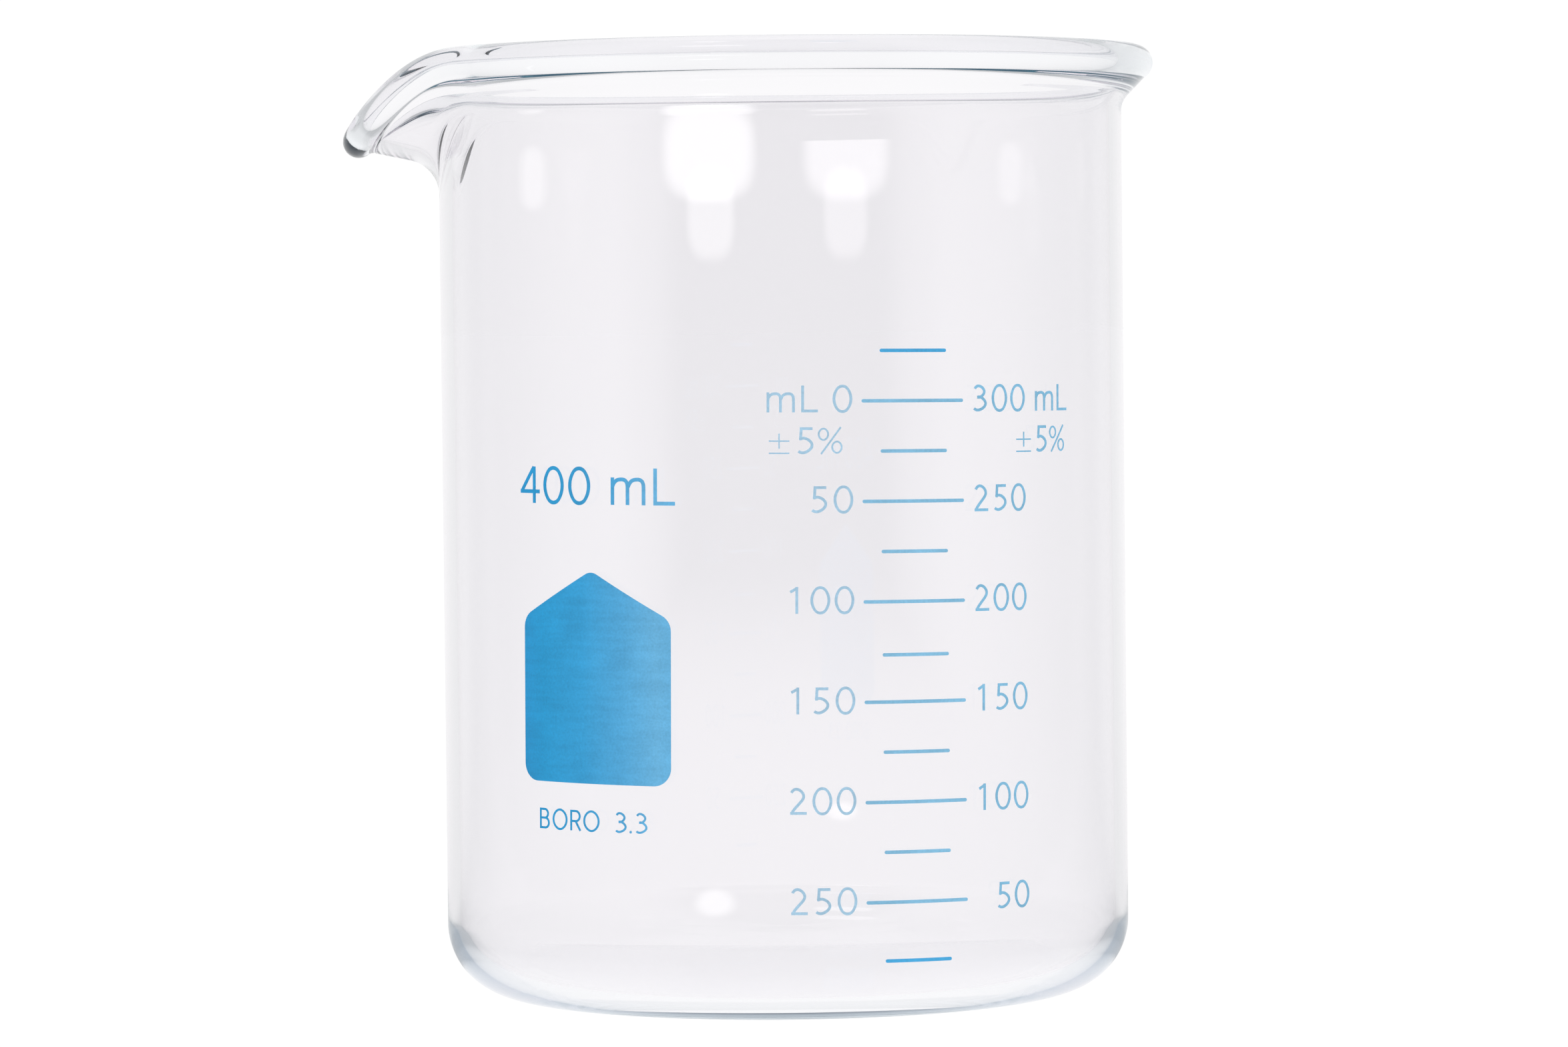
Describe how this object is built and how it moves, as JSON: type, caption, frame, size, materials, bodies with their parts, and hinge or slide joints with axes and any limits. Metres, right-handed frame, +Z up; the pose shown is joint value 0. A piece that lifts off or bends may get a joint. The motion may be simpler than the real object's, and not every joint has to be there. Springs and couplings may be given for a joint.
{
  "type": "laboratory beaker",
  "caption": "Low-form borosilicate glass beaker with beaded rim, pouring spout, and blue fired enamel scale and write-on patch.",
  "frame": {"origin": "centre of the foot, on the surface that the beaker stands on", "axes": "+Z up along the vessel's axis, -X towards the spout, -Y towards the printed scale"},
  "size_m": [0.0936, 0.0862, 0.109],
  "materials": {
    "borosilicate_glass": "fire-polished clear glass",
    "blue_enamel": "satin fired enamel, printed thick",
    "scale_enamel": "satin fired enamel",
    "pale_enamel": "satin fired enamel, printed thin"
  },
  "bodies": {
    "root": {"capacity_label": "blue_enamel", "filled_numeral_050": "scale_enamel", "filled_numeral_100": "scale_enamel", "filled_numeral_150": "scale_enamel", "filled_numeral_200": "scale_enamel", "filled_numeral_250": "scale_enamel", "filled_numeral_300": "scale_enamel", "glass_vessel": "borosilicate_glass", "graduation_line_025": "blue_enamel", "graduation_line_050": "scale_enamel", "graduation_line_075": "scale_enamel", "graduation_line_100": "scale_enamel", "graduation_line_125": "scale_enamel", "graduation_line_150": "scale_enamel", "graduation_line_175": "scale_enamel", "graduation_line_200": "scale_enamel", "graduation_line_225": "scale_enamel", "graduation_line_250": "scale_enamel", "graduation_line_275": "scale_enamel", "graduation_line_300": "scale_enamel", "graduation_line_325": "blue_enamel", "material_label": "blue_enamel", "poured_numeral_000": "pale_enamel", "poured_numeral_050": "pale_enamel", "poured_numeral_100": "pale_enamel", "poured_numeral_150": "pale_enamel", "poured_numeral_200": "pale_enamel", "poured_numeral_250": "pale_enamel", "tolerance_label_left": "pale_enamel", "tolerance_label_right": "scale_enamel", "unit_label_left": "pale_enamel", "unit_label_right": "scale_enamel", "writing_patch": "blue_enamel"}
  },
  "joints": []
}
